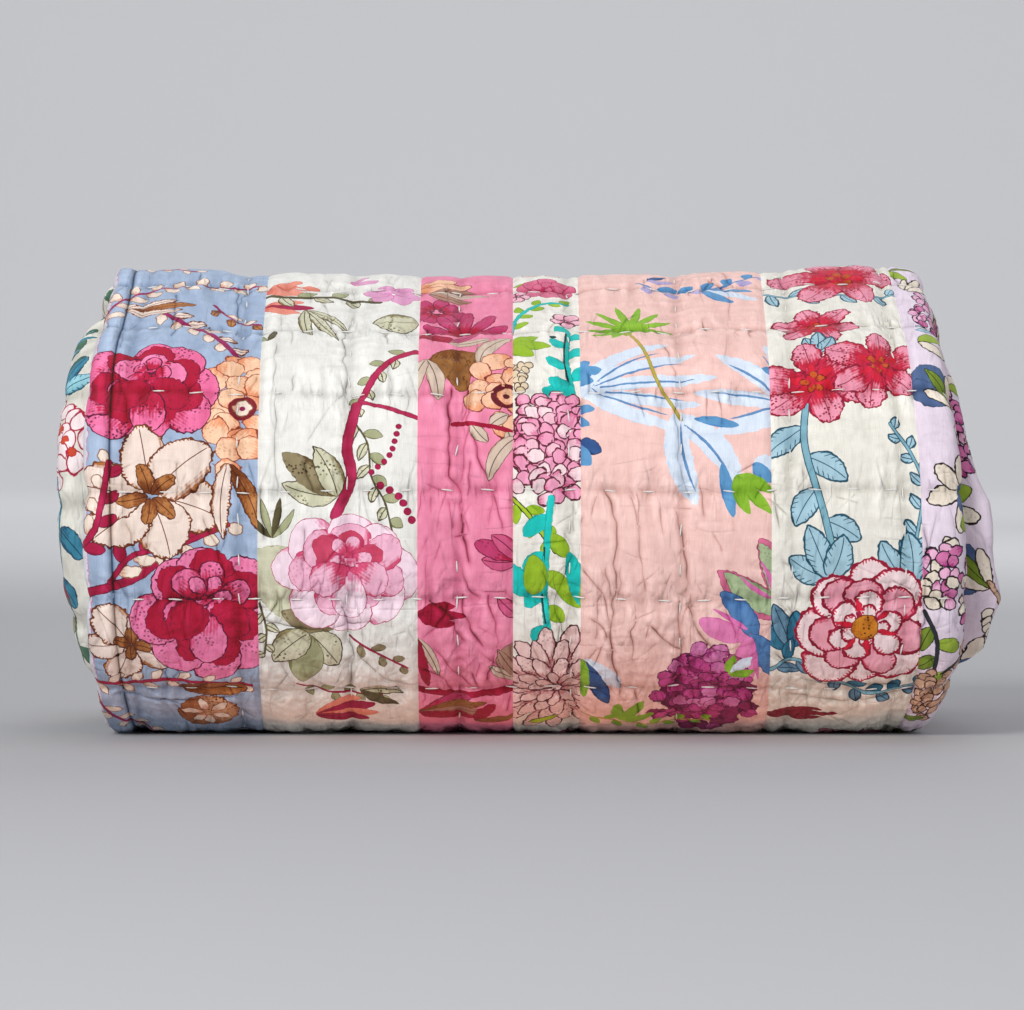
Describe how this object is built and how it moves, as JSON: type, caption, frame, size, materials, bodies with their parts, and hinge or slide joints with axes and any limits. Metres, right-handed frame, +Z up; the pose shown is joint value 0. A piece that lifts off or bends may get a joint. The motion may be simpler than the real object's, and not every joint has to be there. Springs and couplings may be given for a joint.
{
  "type": "patchwork quilt",
  "caption": "Hand-quilted patchwork throw in long floral strips, folded in three along its length and rolled up, lying on its side.",
  "frame": {"origin": "on the surface that the roll lies on, under the middle of its bounding box", "axes": "+X along the roll towards the end where the outer layer is a fold, +Y towards the back, where the loose end lies, +Z up"},
  "size_m": [0.4252, 0.262, 0.2146],
  "materials": {
    "quilted_cotton": "matt washed cotton, printed with flowers, hand-quilted"
  },
  "bodies": {
    "root": {"rolled_quilt": "quilted_cotton"}
  },
  "joints": []
}
